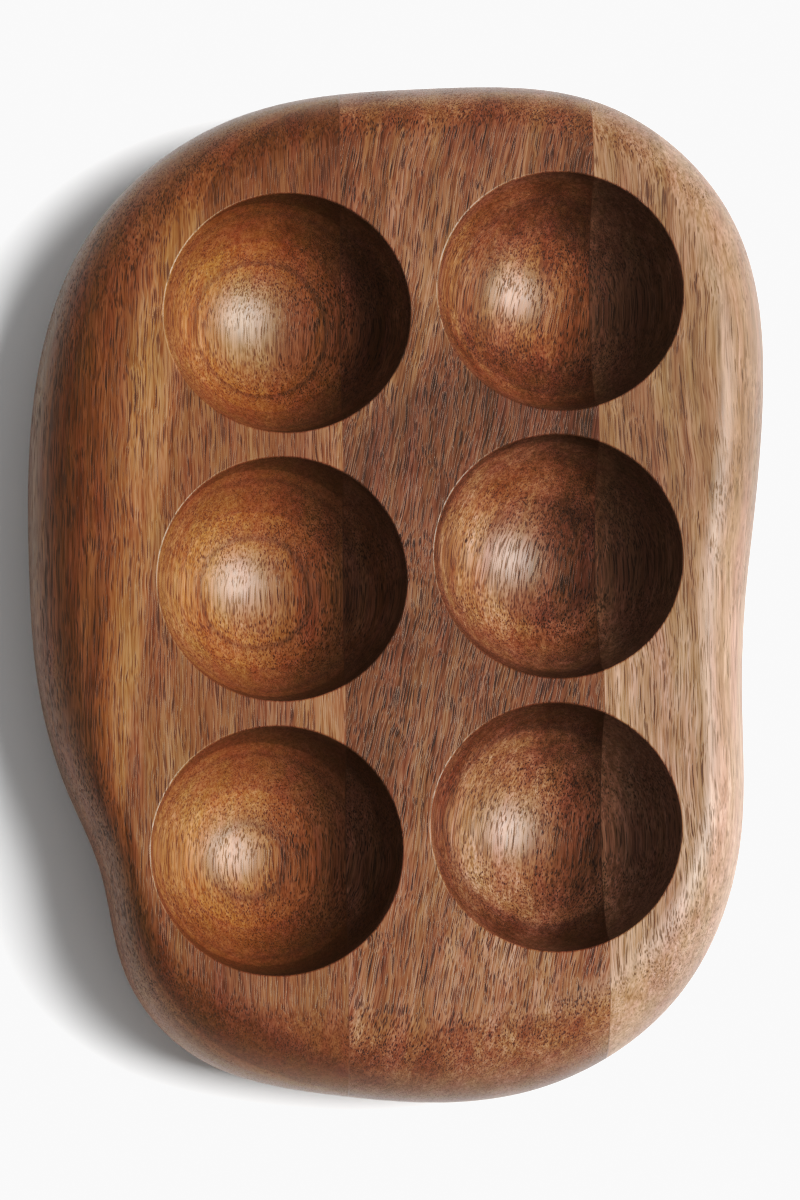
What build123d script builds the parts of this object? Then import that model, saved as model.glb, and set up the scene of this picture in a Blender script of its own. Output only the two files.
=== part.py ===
# Egg holder tray for six eggs: a pebble-shaped wooden block with two staggered columns of
# three egg hollows. The block is glued up edge to edge from three staves whose grain runs
# along Y, then carved and rounded over in one piece, so the hollows cross the glue lines.
#
# Frame: millimetres, +Z up, +Y along the grain, the origin on the table under the middle of
# the block's plan outline.

from build123d import *

import os
from math import cos, radians, sin

# ---------------------------------------------------------------- driving dimensions
HEIGHT = 32.0  # thickness of the finished block
GLUE_X = {"left": -10.3, "right": 36.4}  # middle of each glue line, across the grain
GLUE_THICKNESS = 0.15  # cured adhesive between two staves
SECTION_STEP = 10  # degrees of the rounded edge between two neighbouring sections

HOLLOW_RADIUS = 22.5  # at the rim
HOLLOW_DEPTH = 20.0
HOLLOW_PITCH = 49.6  # along a column
COLUMN_GAP = 50.0  # between the two columns
COLUMN_STAGGER = 5.15  # the right column sits this much further along Y
PATTERN_TURN = -1.5  # degrees, the whole pattern against the grain
PATTERN_CENTRE = (3.5, 0.6)  # middle of the six hollows
RIM_ROUNDING = 0.35  # the sanded edge around each hollow

# Plan outline at mid height, anticlockwise from the right side: x, y and how far the
# rounded edge reaches in from there to the flat top.
OUTLINE = [
    (64.9, 2.7, 10.0),
    (68.4, 33.5, 10.0),
    (63.1, 70.1, 12.0),
    (40.4, 91.1, 12.5),
    (6.6, 94.6, 13.0),
    (-28.8, 89.4, 14.5),
    (-56.3, 67.7, 17.0),
    (-66.9, 36.1, 18.0),
    (-67.8, 5.3, 18.0),
    (-66.0, -18.4, 15.5),
    (-60.8, -37.4, 10.0),
    (-54.7, -52.2, 7.5),
    (-50.2, -71.1, 9.5),
    (-38.4, -85.6, 13.0),
    (-13.1, -93.3, 16.0),
    (23.4, -92.9, 15.0),
    (51.2, -74.9, 11.5),
    (62.2, -47.7, 9.0),
    (63.1, -21.0, 9.0),
]


def centred_outline():
    """The outline's points and edge widths, moved so that its box is centred on the origin."""
    curve = Spline(*[(x, y) for x, y, _ in OUTLINE], periodic=True)
    middle = curve.bounding_box().center()
    return [(Vector(x - middle.X, y - middle.Y), width) for x, y, width in OUTLINE]


def inward_normals(points):
    """The direction into the block at each outline point."""
    curve = Spline(*points, periodic=True)
    tangents = [curve % curve.param_at_point(point) for point in points]
    return [Vector(-tangent.Y, tangent.X) for tangent in tangents]


def hollow_centres():
    """Plan positions of the six hollows, each column from the front to the back."""
    turn = radians(PATTERN_TURN)
    for side in (-1, 1):
        for row in (-1, 0, 1):
            across = side * COLUMN_GAP / 2
            along = side * COLUMN_STAGGER / 2 + row * HOLLOW_PITCH
            yield (
                PATTERN_CENTRE[0] + across * cos(turn) - along * sin(turn),
                PATTERN_CENTRE[1] + across * sin(turn) + along * cos(turn),
            )


outline = centred_outline()
outline_points = [point for point, _ in outline]
normals = inward_normals(outline_points)
bowl_radius = (HOLLOW_RADIUS**2 + HOLLOW_DEPTH**2) / (2 * HOLLOW_DEPTH)
bowl_centre_z = HEIGHT - HOLLOW_DEPTH + bowl_radius

# ---------------------------------------------------------------- the carved block
# The edge is a half ellipse all round: each section is the outline drawn in by the
# edge width at that place.
with BuildPart() as block:
    for angle in range(-90, 91, SECTION_STEP):
        height = HEIGHT / 2 * (1 + sin(radians(angle)))
        drawn_in = 1 - cos(radians(angle))
        section_points = [
            point + normal * (width * drawn_in)
            for (point, width), normal in zip(outline, normals)
        ]
        with BuildSketch(Plane.XY.offset(height)):
            with BuildLine():
                Spline(*section_points, periodic=True)
            make_face()
    loft()

    # Each ball lies with its poles along Y, so that its poles and seam stay above the wood.
    with Locations(*[(x, y, bowl_centre_z) for x, y in hollow_centres()]):
        Sphere(bowl_radius, rotation=(90, 0, 0), mode=Mode.SUBTRACT)

    rims = block.edges().filter_by(GeomType.CIRCLE).group_by(Axis.Z)[-1]
    fillet(rims, RIM_ROUNDING)


def slab_of_block(low_x, high_x):
    """The part of the carved block between two planes across X; None leaves a side whole."""
    with BuildPart() as piece:
        add(block.part)
        if low_x is not None:
            split(bisect_by=Plane.YZ.offset(low_x), keep=Keep.TOP)
        if high_x is not None:
            split(bisect_by=Plane.YZ.offset(high_x), keep=Keep.BOTTOM)
    return piece


# ---------------------------------------------------------------- staves and glue lines
half_glue = GLUE_THICKNESS / 2
left_glue_low, left_glue_high = GLUE_X["left"] - half_glue, GLUE_X["left"] + half_glue
right_glue_low, right_glue_high = GLUE_X["right"] - half_glue, GLUE_X["right"] + half_glue

pieces = {
    "left_stave": slab_of_block(None, left_glue_low),
    "left_glue_line": slab_of_block(left_glue_low, left_glue_high),
    "centre_stave": slab_of_block(left_glue_high, right_glue_low),
    "right_glue_line": slab_of_block(right_glue_low, right_glue_high),
    "right_stave": slab_of_block(right_glue_high, None),
}

os.makedirs("parts", exist_ok=True)
for name, piece in pieces.items():
    piece.part.label = name
    export_step(piece.part, f"parts/{name}.step")

box = block.part.bounding_box()
print(f"block {box.size.X:.2f} x {box.size.Y:.2f} x {box.size.Z:.2f} mm, centre {box.center()}")
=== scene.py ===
from math import cos, radians, sin

import bpy
from mathutils import Euler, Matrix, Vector


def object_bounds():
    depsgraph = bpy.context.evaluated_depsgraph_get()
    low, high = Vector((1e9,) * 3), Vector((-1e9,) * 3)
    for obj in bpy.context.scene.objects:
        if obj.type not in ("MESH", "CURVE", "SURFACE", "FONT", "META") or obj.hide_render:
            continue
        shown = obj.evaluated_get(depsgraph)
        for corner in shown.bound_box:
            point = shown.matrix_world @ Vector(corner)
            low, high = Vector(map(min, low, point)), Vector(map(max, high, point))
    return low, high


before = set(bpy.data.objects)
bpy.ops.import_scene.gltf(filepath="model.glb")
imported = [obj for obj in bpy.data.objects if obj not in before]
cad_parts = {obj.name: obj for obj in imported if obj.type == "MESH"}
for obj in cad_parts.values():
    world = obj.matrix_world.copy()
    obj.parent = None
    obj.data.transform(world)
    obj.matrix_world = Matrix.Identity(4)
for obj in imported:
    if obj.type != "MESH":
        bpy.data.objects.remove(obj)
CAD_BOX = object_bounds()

MM = 0.001  # the frame is in metres; sizes and places inside the wood are in millimetres
TOP_Z = CAD_BOX[1][2]


# ---------------------------------------------------------------- shader building
class Graph:
    """Adds nodes to one node tree; a node's input takes a plain value or another node's output."""

    def __init__(self, tree):
        self.tree = tree
        tree.nodes.clear()

    def node(self, kind, inputs, **settings):
        made = self.tree.nodes.new(kind)
        for name, value in settings.items():
            setattr(made, name, value)
        for key, value in inputs.items():
            if isinstance(value, bpy.types.NodeSocket):
                self.tree.links.new(value, made.inputs[key])
            else:
                made.inputs[key].default_value = value
        return made

    def math(self, operation, *values):
        return self.node("ShaderNodeMath", dict(enumerate(values)), operation=operation).outputs[0]

    def product(self, first, *others):
        for other in others:
            first = self.math("MULTIPLY", first, other)
        return first

    def vector(self, operation, *values):
        inputs = dict(enumerate(values))
        return self.node("ShaderNodeVectorMath", inputs, operation=operation).outputs[0]

    def dot(self, a, b):
        return self.node("ShaderNodeVectorMath", {0: a, 1: b}, operation="DOT_PRODUCT").outputs["Value"]

    def scaled(self, vector, scale):
        inputs = {0: vector, "Scale": scale}
        return self.node("ShaderNodeVectorMath", inputs, operation="SCALE").outputs[0]

    def turned(self, vector, axis, angle):
        inputs = {"Vector": vector, "Axis": axis, "Angle": angle}
        return self.node("ShaderNodeVectorRotate", inputs, rotation_type="AXIS_ANGLE").outputs[0]

    def noise(self, vector, across, along, detail, roughness=0.5, output="Fac", offset=0.0):
        """Noise whose blobs are about `across` by `along` millimetres, the long way along Y."""
        place = self.vector("MULTIPLY_ADD", vector, (1 / across, 1 / along, 1 / across), (offset,) * 3)
        inputs = {"Vector": place, "Scale": 1.0, "Detail": detail, "Roughness": roughness}
        return self.node("ShaderNodeTexNoise", inputs).outputs[output]

    def remap(self, value, low, high, to_low=0.0, to_high=1.0, smooth=True):
        inputs = {"Value": value, 1: low, 2: high, 3: to_low, 4: to_high}
        kind = "SMOOTHSTEP" if smooth else "LINEAR"
        return self.node("ShaderNodeMapRange", inputs, interpolation_type=kind).outputs[0]

    def swing(self, noise, reach, middle=1.0, low=0.3, high=0.7):
        """Noise as a number that swings by `reach` to either side of `middle`."""
        return self.remap(noise, low, high, middle - reach, middle + reach, smooth=False)

    def mix(self, factor, a, b):
        return self.node("ShaderNodeMix", {0: factor, 6: a, 7: b}, data_type="RGBA").outputs[2]

    def mix_number(self, factor, a, b):
        return self.node("ShaderNodeMix", {0: factor, 2: a, 3: b}, data_type="FLOAT").outputs[0]

    def colour_ramp(self, value, stops):
        """A colour by depth: stops are (depth, colour) pairs in ascending depth, eased between."""
        low, high = stops[0][0], stops[-1][0]
        share = self.remap(value, low, high, smooth=False)
        made = self.node("ShaderNodeValToRGB", {0: share})
        ramp = made.color_ramp
        ramp.interpolation = "EASE"
        while len(ramp.elements) < len(stops):
            ramp.elements.new(0.5)
        for element, (depth, colour) in zip(ramp.elements, stops):
            element.position = (depth - low) / (high - low)
            element.color = (*colour, 1)
        return made.outputs[0]

    def number_ramp(self, value, stops):
        """A number by place: stops are (place, number up to 2) pairs in ascending place."""
        greys = [(place, (number / 2,) * 3) for place, number in stops]
        return self.math("MULTIPLY", self.colour_ramp(value, greys), 2.0)


def new_material(name):
    material = bpy.data.materials.new(name)
    material.use_nodes = True
    return material, Graph(material.node_tree)


def place_and_facing(g):
    """The place in the tray in mm, and the way that the surface faces there."""
    coordinates = g.node("ShaderNodeTexCoord", {})
    return g.scaled(coordinates.outputs["Object"], 1 / MM), coordinates.outputs["Normal"]


# ---------------------------------------------------------------- wood
# The noises that every wood is made of: how far their blobs reach across and along the
# grain in mm, their detail, their roughness, and how far past the wood's seed each starts.
NOISES = {
    "stray": (34, 46, 1, 0.5, 0),
    "ripple": (5, 11, 1, 0.5, 7),
    "waver": (9, 26, 3, 0.5, 3),
    "threads": (0.25, 8.5, 2, 0.6, 0),
    "bundles": (0.75, 18, 2, 0.5, 17),
    "figure": (6.5, 19, 3, 0.55, 23),
    "streaks": (0.8, 42, 2, 0.5, 31),
    "hue": (3.2, 24, 2, 0.5, 41),
    "crowd": (4.5, 20, 1, 0.5, 53),
}
RIPPLE = 1.2  # mm from side to side by which the fibres ripple
LAYER_WAVER = 0.3  # how far the growth layers waver, as a share of the fibres' wander

THREADS = (0.30, 0.56)  # the noise that makes the darkest and the lightest threads
LIGHT_THREADS = 0.25  # how far the light threads stand out, as a share of the dark ones
MEAN_THREAD = 0.2  # how much darker than 1 the threads are on the whole, as a share of `fibre`
BUNDLES = 0.35  # how far the bundles of threads stand out, as a share of `fibre`
HUE_SWING = 0.008
RICHNESS = (1.10, 0.82)  # the saturation of wood at 0.5 and at 1.5 times its layer's colour

# End grain is 0 where the surface runs along the fibres and 1 where it is square to them.
END_GRAIN = (0.05, 0.8)  # where the fibres' marks start to fade, and where they stop
END_GRAIN_THREADS = 0.6  # how much of the threads' contrast has faded there
END_GRAIN_PORES = 0.6  # how much of a vessel's dark is left there

VESSEL_SPACING = 0.27  # mm
VESSEL_RADIUS = (0.22, 0.44)  # of the thinnest and the widest, in spacings
VESSEL_EDGE = (-0.05, 0.12)  # from clear wood to the full dark, in spacings
VESSEL_CROWDING = 0.3  # how far the share of open vessels varies from place to place
VESSEL_DARKNESS = (0.65, 1.0)  # how much of the pore's colour the palest and the darkest have
OPENING = 0.15  # the share of vessels that are neither shut nor quite open
DASH_WIDTH = 0.24  # mm, of the finest vessels, which show as dashes only
DASH_START = 61  # how far past the wood's seed their noise starts
DASHES = (0.55, 0.68)  # the noise at which a dash begins, and at which it is darkest
DASH_DARKNESS = (0.3, 0.9)  # where few vessels are open, and where most are

WOOD_IOR = 1.48
WOOD_GLOSS = 0.45
PORE_GLOSS = 0.28
OIL_TINT = (1.0, 0.95, 0.88, 1.0)  # the colour of the highlights
ROUGH_SWING = 0.07  # how much rougher or smoother one thread is than the next
PORE_ROUGH = 0.15  # how much rougher an open vessel is
PORE_RELIEF = -0.025  # mm
THREAD_RELIEF = 0.015  # mm


def wood_noise(g, place, kind, seed, output="Fac"):
    across, along, detail, roughness, start = NOISES[kind]
    return g.noise(place, across, along, detail, roughness, output, seed + start)


def sideways(g, here, kind, reach, seed):
    """A push across the grain, by up to half of `reach` mm either way."""
    push = wood_noise(g, here, kind, seed, output="Color")
    return g.vector("MULTIPLY", g.vector("SUBTRACT", push, (0.5, 0.5, 0.5)), (reach, 0, reach))


def along_the_fibres(g, here, slant, wander, seed):
    """The place in the wood, in mm, with Y along its slanting and straying fibres."""
    grain = g.turned(here, (0, 0, 1), radians(slant))
    grain = g.vector("ADD", grain, sideways(g, here, "stray", wander, seed))
    return g.vector("ADD", grain, sideways(g, here, "ripple", RIPPLE, seed))


def depth_in_layers(g, here, layer_lean, layer_dip, wander, seed):
    """How far through the growth layers a place is, in mm."""
    lean, dip = radians(layer_lean), radians(layer_dip)
    through = (sin(lean), sin(dip), cos(lean) * cos(dip))
    waver = wood_noise(g, here, "waver", seed)
    return g.math("ADD", g.dot(here, through), g.swing(waver, LAYER_WAVER * wander, 0, low=0, high=1))


def board_tone_and_painted_shade(g, here, across, along):
    """How light or dark the wood is made by its X and by its Y: the board's own tone, and painted shade
    where a table darkens a rounded edge that faces away from the light.
    """
    spot = g.node("ShaderNodeSeparateXYZ", {"Vector": here})
    return g.product(g.number_ramp(spot.outputs["X"], across), g.number_ramp(spot.outputs["Y"], along))


def thread_lightness(g, threads, end_grain, fibre):
    """Light and dark threads, which fade towards their mean where they are cut end on."""
    value = g.remap(threads, *THREADS, 1 - fibre, 1 + fibre * LIGHT_THREADS, smooth=False)
    faded = g.remap(end_grain, *END_GRAIN, 0, END_GRAIN_THREADS)
    return g.mix_number(faded, value, 1 - fibre * MEAN_THREAD)


def toned(g, colour, value, grain, seed):
    """A colour made lighter or darker, and paler where it is light and richer where it is dark."""
    inputs = {
        "Hue": g.swing(wood_noise(g, grain, "hue", seed), HUE_SWING, middle=0.5),
        "Saturation": g.remap(value, 0.5, 1.5, *RICHNESS, smooth=False),
        "Value": value,
        "Color": colour,
    }
    return g.node("ShaderNodeHueSaturation", inputs).outputs[0]


def open_vessels(g, grain, openness, pore_length, seed):
    """Where the wood's vessels lie open, from 0 to 1, and how dark each of them is."""
    crowd = wood_noise(g, grain, "crowd", seed)
    open_share = g.math("ADD", openness, g.swing(crowd, VESSEL_CROWDING, middle=0))
    per_mm = (1 / VESSEL_SPACING, 1 / pore_length, 1 / VESSEL_SPACING)
    place = g.vector("MULTIPLY_ADD", grain, per_mm, (seed,) * 3)
    cell = g.node("ShaderNodeTexVoronoi", {"Vector": place, "Scale": 1.0, "Randomness": 1.0})
    chance = g.node("ShaderNodeSeparateColor", {"Color": cell.outputs["Color"]})
    is_open = g.remap(g.math("SUBTRACT", open_share, chance.outputs["Red"]), 0, OPENING)
    radius = g.remap(chance.outputs["Green"], 0, 1, *VESSEL_RADIUS, smooth=False)
    inside = g.math("SUBTRACT", radius, cell.outputs["Distance"])
    vessel = g.product(g.remap(inside, *VESSEL_EDGE), is_open)

    dash = g.noise(grain, DASH_WIDTH, pore_length, detail=1, offset=seed + DASH_START)
    dash = g.product(g.remap(dash, *DASHES), g.remap(open_share, 0.1, 0.9, *DASH_DARKNESS))
    darkness = g.remap(chance.outputs["Blue"], 0, 1, *VESSEL_DARKNESS, smooth=False)
    return g.math("MAXIMUM", vessel, dash), darkness


def oiled_surface(g, colour, threads, pore, rough):
    """A satin oil finish, in which open vessels are sunk, rougher and duller than the wood."""
    roughness = g.swing(threads, ROUGH_SWING, middle=rough)
    relief = g.math("MULTIPLY_ADD", pore, PORE_RELIEF, g.product(threads, THREAD_RELIEF))
    bump = g.node("ShaderNodeBump", {"Height": relief, "Distance": MM, "Strength": 1.0})
    surface = {
        "Base Color": colour,
        "Roughness": g.math("ADD", roughness, g.product(pore, PORE_ROUGH)),
        "Normal": bump.outputs[0],
        "IOR": WOOD_IOR,
        "Specular IOR Level": g.remap(pore, 0, 1, WOOD_GLOSS, PORE_GLOSS, smooth=False),
        "Specular Tint": OIL_TINT,
    }
    shader = g.node("ShaderNodeBsdfPrincipled", surface)
    g.node("ShaderNodeOutputMaterial", {"Surface": shader.outputs[0]})


def wood(
    name, layers, open_pores, across, along, layer_lean, layer_dip, slant, wander,
    fibre, mottle, streak, end_shade, pore_length, pore_colour, rough, seed,
):
    """Solid wood whose grain runs along Y.

    The growth layers are flat sheets: layer_lean and layer_dip are the degrees by which they
    rise towards -X and -Y. By depth through them, `layers` gives the wood's colour and
    `open_pores` the share of its vessels that are open and dark. `across` and `along` say how
    light or dark the wood is made by its X and its Y: the board's own tone, and on the left
    stave's rounded left edge painted shade as well. slant is the grain's angle in plan, and
    wander how far the fibres stray sideways, in mm.

    fibre, mottle and streak say how strongly the fine threads, the blotches and the long
    streaks stand out, and end_shade how light the end grain is. pore_length is in mm, and
    rough is the surface's roughness.
    """
    material, g = new_material(name)
    here, facing = place_and_facing(g)
    grain = along_the_fibres(g, here, slant, wander, seed)
    depth = depth_in_layers(g, here, layer_lean, layer_dip, wander, seed)
    along_y = g.dot(facing, (0, 1, 0))
    end_grain = g.product(along_y, along_y)

    threads = wood_noise(g, grain, "threads", seed)
    value = g.product(
        thread_lightness(g, threads, end_grain, fibre),
        board_tone_and_painted_shade(g, here, across, along),
        g.swing(wood_noise(g, grain, "bundles", seed), fibre * BUNDLES),
        g.swing(wood_noise(g, grain, "figure", seed), mottle, low=0.25, high=0.75),
        g.swing(wood_noise(g, grain, "streaks", seed), streak),
        g.remap(end_grain, 0, 1, 1, end_shade, smooth=False),
    )
    colour = toned(g, g.colour_ramp(depth, layers), value, grain, seed)

    openness = g.number_ramp(depth, open_pores)
    pore, darkness = open_vessels(g, grain, openness, pore_length, seed)
    pore = g.product(pore, g.remap(end_grain, *END_GRAIN, 1, END_GRAIN_PORES))
    colour = g.mix(g.product(pore, darkness), colour, (*pore_colour, 1))
    oiled_surface(g, colour, threads, pore, rough)
    return material


def left_wood():
    """Flat-sawn, orange-brown; the layers lie nearly level and ring the hollows' floors."""
    layers = [
        (-4.0, (0.113, 0.051, 0.024)),
        (3.5, (0.174, 0.093, 0.048)),
        (6.0, (0.186, 0.081, 0.035)),
        (7.3, (0.209, 0.087, 0.031)),
        (7.7, (0.136, 0.058, 0.024)),
        (8.4, (0.202, 0.084, 0.033)),
        (10.4, (0.218, 0.092, 0.034)),
        (10.8, (0.182, 0.075, 0.031)),
        (11.5, (0.193, 0.083, 0.033)),
        (13.5, (0.181, 0.078, 0.032)),
        (15.0, (0.190, 0.085, 0.036)),
        (16.4, (0.165, 0.073, 0.032)),
        (17.6, (0.203, 0.090, 0.037)),
        (18.3, (0.186, 0.082, 0.034)),
        (19.1, (0.186, 0.082, 0.034)),
        (19.3, (0.137, 0.058, 0.023)),
        (23.7, (0.137, 0.059, 0.025)),
        (24.9, (0.126, 0.052, 0.024)),
        (26.0, (0.135, 0.058, 0.029)),
        (27.5, (0.164, 0.072, 0.034)),
        (31.0, (0.156, 0.069, 0.033)),
    ]
    open_pores = [
        (4, 0.45), (7.5, 0.8), (11, 0.7), (15, 0.8), (17.5, 0.95),
        (18.6, 0.5), (19.3, 0.75), (26, 0.7), (28, 0.5),
    ]
    # Darker towards the left edge: partly the wood's own tone, partly painted shade on the rounded left
    # edge, which faces away from the light.
    across = [(-68, 0.70), (-62, 0.62), (-55, 0.74), (-50, 0.83), (-46, 1.0)]
    along = [(-90, 0.82), (-70, 0.84), (-40, 1.03), (-10, 1.03), (25, 1.0), (60, 0.92), (80, 0.76)]
    return wood(
        "oiled_orange_brown_wood", layers, open_pores, across, along,
        layer_lean=15, layer_dip=-2, slant=0.5, wander=1.5,
        fibre=0.40, mottle=0.12, streak=0.10, end_shade=0.82,
        pore_length=6.5, pore_colour=(0.040, 0.018, 0.010), rough=0.42, seed=3.0,
    )


def centre_wood():
    """Red-brown with an interlocked grain that slants across the stave."""
    layers = [
        (-8.0, (0.132, 0.058, 0.032)),
        (4.0, (0.205, 0.090, 0.048)),
        (8.0, (0.272, 0.120, 0.060)),
        (12.0, (0.166, 0.074, 0.041)),
        (14.0, (0.160, 0.071, 0.036)),
        (16.0, (0.152, 0.068, 0.038)),
        (17.7, (0.205, 0.096, 0.050)),
        (20.0, (0.193, 0.087, 0.043)),
        (24.0, (0.178, 0.084, 0.047)),
        (26.0, (0.185, 0.090, 0.048)),
        (27.0, (0.173, 0.083, 0.045)),
        (28.5, (0.113, 0.051, 0.027)),
        (30.0, (0.110, 0.046, 0.022)),
        (32.0, (0.108, 0.045, 0.021)),
        (35.0, (0.108, 0.045, 0.020)),
        (38.0, (0.141, 0.059, 0.028)),
        (42.0, (0.165, 0.071, 0.035)),
        (46.0, (0.165, 0.072, 0.036)),
    ]
    open_pores = [(-8, 0.65), (20, 0.8), (27, 0.9), (30, 1.15), (36, 1.1), (44, 0.95)]
    across = [(-10, 0.94), (8, 1.03), (20, 1.0), (27, 0.89), (38, 0.83)]
    along = [
        (-90, 1.0), (-70, 1.04), (-45, 0.96), (-25, 0.91), (0, 0.94),
        (20, 0.82), (38, 0.71), (60, 0.77), (80, 0.70), (92, 0.82),
    ]
    return wood(
        "oiled_red_brown_wood", layers, open_pores, across, along,
        layer_lean=4, layer_dip=-7, slant=10, wander=5.0,
        fibre=0.50, mottle=0.36, streak=0.16, end_shade=1.08,
        pore_length=7.0, pore_colour=(0.019, 0.011, 0.009), rough=0.42, seed=17.0,
    )


def right_wood():
    """Pinkish tan, straight in the grain, with a darker and more golden strip by the glue line."""
    layers = [
        (-66.0, (0.254, 0.145, 0.091)),
        (-56.0, (0.259, 0.143, 0.087)),
        (-50.0, (0.253, 0.142, 0.086)),
        (-47.2, (0.244, 0.134, 0.080)),
        (-46.6, (0.188, 0.101, 0.057)),
        (-44.0, (0.197, 0.105, 0.060)),
        (-38.0, (0.192, 0.097, 0.057)),
        (-35.5, (0.198, 0.106, 0.062)),
        (-34.0, (0.222, 0.120, 0.067)),
        (-28.0, (0.213, 0.114, 0.063)),
    ]
    open_pores = [(-60, 0.30), (-50, 0.40), (-46, 0.70), (-38, 0.85), (-34, 0.6)]
    across = [(36, 1.12), (50, 1.12), (56, 0.98), (70, 0.92)]
    along = [
        (-80, 0.95), (-46, 1.06), (-13, 0.93), (4, 0.76),
        (18, 0.60), (45, 0.68), (70, 0.76), (85, 0.82),
    ]
    return wood(
        "oiled_pinkish_tan_wood", layers, open_pores, across, along,
        layer_lean=-80, layer_dip=-2, slant=-1, wander=3.5,
        fibre=0.34, mottle=0.14, streak=0.26, end_shade=0.94,
        pore_length=9.0, pore_colour=(0.036, 0.021, 0.014), rough=0.46, seed=29.0,
    )


# ---------------------------------------------------------------- glue
GLUE_DARK = (0.075, 0.033, 0.016, 1)
GLUE_LIGHT = (0.120, 0.055, 0.028, 1)
GLUE_ROUGH = (0.34, 0.44)  # of the dark parts and of the light ones
GLUE_IOR = 1.47


def glue():
    """A cured film of wood glue, sanded flush: amber brown, a little glossier than the wood."""
    material, g = new_material("cured_wood_glue")
    here, _ = place_and_facing(g)
    cloud = g.noise(here, 1.5, 6.0, detail=2)
    surface = {
        "Base Color": g.mix(g.remap(cloud, 0.3, 0.7), GLUE_DARK, GLUE_LIGHT),
        "Roughness": g.remap(cloud, 0.3, 0.7, *GLUE_ROUGH),
        "IOR": GLUE_IOR,
    }
    shader = g.node("ShaderNodeBsdfPrincipled", surface)
    g.node("ShaderNodeOutputMaterial", {"Surface": shader.outputs[0]})
    return material


def dress(node, material):
    """Gives a CAD node its material."""
    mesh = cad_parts[node].data
    mesh.materials.clear()
    mesh.materials.append(material)


# ---------------------------------------------------------------- camera, light and floor
CAMERA_TILT = Euler((radians(10.838), radians(-1.391), radians(-0.705)), "XYZ")
CAMERA_DISTANCE = 853.5 * MM  # from the point on the tray's top face that the camera looks at
CAMERA_AIM = Vector((-0.3 * MM, -5.5 * MM, TOP_Z))
SENSOR = 36.0  # mm, along the picture's height
LENS = 141.6  # mm

# The softbox: degrees from straight overhead, degrees about the vertical from +X, metres
# away, its width and height in metres, and its power in watts.
KEY_SOFTBOX = {"lean": 42, "turn": -4, "distance": 4.0, "width": 1.9, "height": 2.4, "power": 385.0}
SKY = 0.32  # strength of the even light from all round
SKY_SEEN = 1.2  # how bright the sky itself is to the camera

FLOOR_SIZE = 14  # metres
FLOOR_COLOUR = (0.9, 0.9, 0.9, 1)
FLOOR_ROUGH = 0.9

# Brightness in and brightness out, both linear: deep shadows are printed darker than they
# are, and the floor out of the shadow comes out as an even near-white.
TONE = [(0.0, 0.0), (0.05, 0.024), (0.1, 0.062), (0.16, 0.134), (0.24, 0.243), (0.5, 0.52), (1.0, 0.95)]
ALL_CHANNELS = 3  # the curve that red, green and blue share


def camera():
    data = bpy.data.cameras.new("camera")
    data.sensor_width = SENSOR
    data.lens = LENS
    data.clip_start = 10 * MM
    made = bpy.data.objects.new("camera", data)
    made.rotation_euler = CAMERA_TILT
    made.location = CAMERA_AIM + CAMERA_TILT.to_matrix() @ Vector((0, 0, CAMERA_DISTANCE))
    bpy.context.collection.objects.link(made)
    bpy.context.scene.camera = made


def softbox(name, lean, turn, distance, width, height, power):
    """A rectangular area light aimed at the tray."""
    across = sin(radians(lean))
    away = Vector((across * cos(radians(turn)), across * sin(radians(turn)), cos(radians(lean))))
    data = bpy.data.lights.new(name, "AREA")
    data.shape = "RECTANGLE"
    data.size = width
    data.size_y = height
    data.energy = power
    made = bpy.data.objects.new(name, data)
    made.location = away * distance
    made.rotation_euler = away.to_track_quat("Z", "Y").to_euler()
    bpy.context.collection.objects.link(made)


def sky():
    world = bpy.data.worlds.new("studio")
    bpy.context.scene.world = world
    world.use_nodes = True
    g = Graph(world.node_tree)
    rays = g.node("ShaderNodeLightPath", {})
    strength = g.remap(rays.outputs["Is Camera Ray"], 0, 1, SKY, SKY_SEEN, smooth=False)
    light = g.node("ShaderNodeBackground", {"Color": (1, 1, 1, 1), "Strength": strength})
    g.node("ShaderNodeOutputWorld", {"Surface": light.outputs[0]})


def floor():
    bpy.ops.mesh.primitive_plane_add(size=FLOOR_SIZE)
    made = bpy.context.object
    made.name = "floor"
    material, g = new_material("pale_floor")
    shader = g.node("ShaderNodeBsdfPrincipled", {"Base Color": FLOOR_COLOUR, "Roughness": FLOOR_ROUGH})
    g.node("ShaderNodeOutputMaterial", {"Surface": shader.outputs[0]})
    made.data.materials.append(material)


def exposure():
    view = bpy.context.scene.view_settings
    view.view_transform = "Standard"
    view.use_curve_mapping = True
    mapping = view.curve_mapping
    mapping.extend = "HORIZONTAL"
    points = mapping.curves[ALL_CHANNELS].points
    while len(points) < len(TONE):
        points.new(0.5, 0.5)
    for point, place in zip(points, TONE):
        point.location = place
    mapping.update()


# ---------------------------------------------------------------- the scene
exposure()
camera()
softbox("key", **KEY_SOFTBOX)
sky()
floor()
dress("left_stave", left_wood())
dress("centre_stave", centre_wood())
dress("right_stave", right_wood())
film = glue()
dress("left_glue_line", film)
dress("right_glue_line", film)
